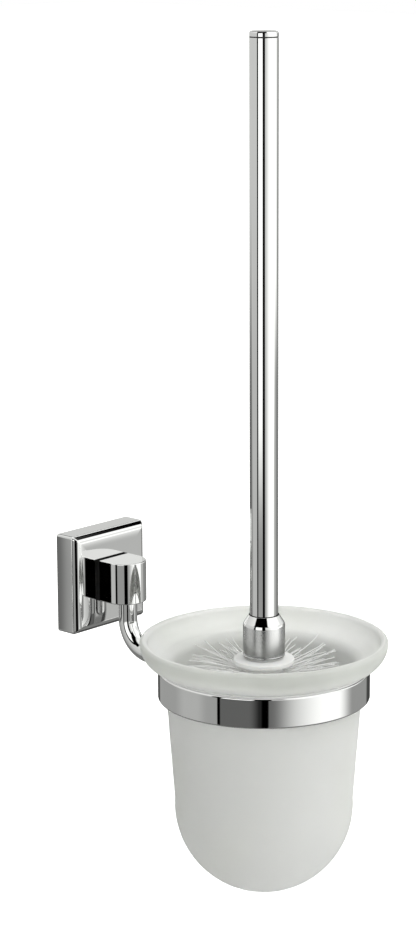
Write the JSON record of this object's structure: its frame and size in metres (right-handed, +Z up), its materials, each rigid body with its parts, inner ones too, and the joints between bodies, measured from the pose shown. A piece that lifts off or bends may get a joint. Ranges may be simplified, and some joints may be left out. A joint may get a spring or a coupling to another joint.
{
  "type": "wall-mounted toilet brush holder",
  "caption": "Wall-mounted toilet brush holder: square wall plate, bent rod and ring carrying a frosted glass cup, with a long-handled brush standing in the cup.",
  "frame": {"origin": "centre of the wall plate's back, on the wall", "axes": "the wall is the plane Y = 0, the holder stands out towards -Y, +Z is up, X runs along the wall"},
  "size_m": [0.114, 0.1675, 0.3955],
  "materials": {
    "chrome": "polished chrome plate",
    "satin_chrome": "chrome plate, slightly satin",
    "steel": "zinc-plated steel",
    "dark_steel": "blackened steel",
    "bracket_zinc": "bare die-cast zinc",
    "frosted_glass": "acid-frosted glass",
    "clear_plastic": "translucent moulded plastic",
    "white_plastic": "moulded white plastic",
    "bristle": "white nylon filament"
  },
  "bodies": {
    "holder": {"wall_bracket": "bracket_zinc", "wall_plate": "chrome", "plate_set_screw": "dark_steel", "locating_pins": "steel", "post_screw": "steel", "post_washer": "steel", "arm_post": "chrome", "rod_set_screw": "dark_steel", "arm_rod": "chrome", "holder_ring": "chrome", "ring_screw": "steel", "ring_gasket": "clear_plastic"},
    "cup": {"glass_cup": "frosted_glass"},
    "brush": {"handle_tube": "chrome", "handle_cap": "chrome", "handle_insert": "steel", "handle_collar": "satin_chrome", "collar_washer": "satin_chrome", "brush_stud": "steel", "brush_core": "white_plastic", "bristle_row_1": "bristle", "bristle_row_2": "bristle", "bristle_row_3": "bristle", "bristle_row_4": "bristle", "bristle_row_5": "bristle", "bristle_row_6": "bristle", "bristle_row_7": "bristle", "bristle_row_8": "bristle", "bristle_row_9": "bristle", "bristle_tip": "bristle"}
  },
  "joints": [
    {"name": "cup_lift", "type": "slide", "parent": "holder", "child": "cup", "axis": [0, 0, 1], "range_m": [0, 0.115]},
    {"name": "brush_lift", "type": "slide", "parent": "cup", "child": "brush", "axis": [0, 0, 1], "range_m": [0, 0.125]}
  ]
}
